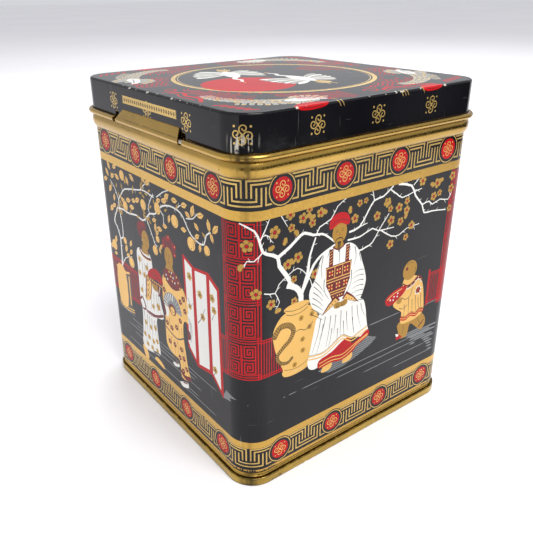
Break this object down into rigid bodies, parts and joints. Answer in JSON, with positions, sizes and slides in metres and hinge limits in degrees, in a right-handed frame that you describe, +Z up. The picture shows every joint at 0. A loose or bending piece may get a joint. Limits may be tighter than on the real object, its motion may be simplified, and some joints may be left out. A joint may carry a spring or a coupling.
{
  "type": "hinged-lid tea caddy tin",
  "caption": "Square tinplate storage canister with rounded corners, a double-seamed base and a lid that tips back on a wire hinge.",
  "frame": {"origin": "centre of the footprint, on the ground plane", "axes": "+Z up; the hinge is on the +Y side, so the lid's free edge faces -Y"},
  "size_m": [0.1042, 0.1042, 0.125],
  "materials": {
    "printed_tinplate": "glossy lithographed tinplate, black with gold, red and white print",
    "printed_lid": "glossy lithographed tinplate, black with gold and red print",
    "gold_lacquered_tinplate": "transparent gold lacquer over bright tinplate, slightly tarnished",
    "hinge_steel": "drawn steel wire"
  },
  "bodies": {
    "caddy": {"caddy_body": "printed_tinplate", "base_end": "gold_lacquered_tinplate", "hinge_wire": "hinge_steel"},
    "lid": {"lid": "printed_lid"}
  },
  "joints": [
    {"name": "lid_hinge", "type": "hinge", "parent": "caddy", "child": "lid", "pos_m": [0, 0.0511, 0.1133], "axis": [-1, 0, 0], "range_deg": [0, 110]}
  ]
}
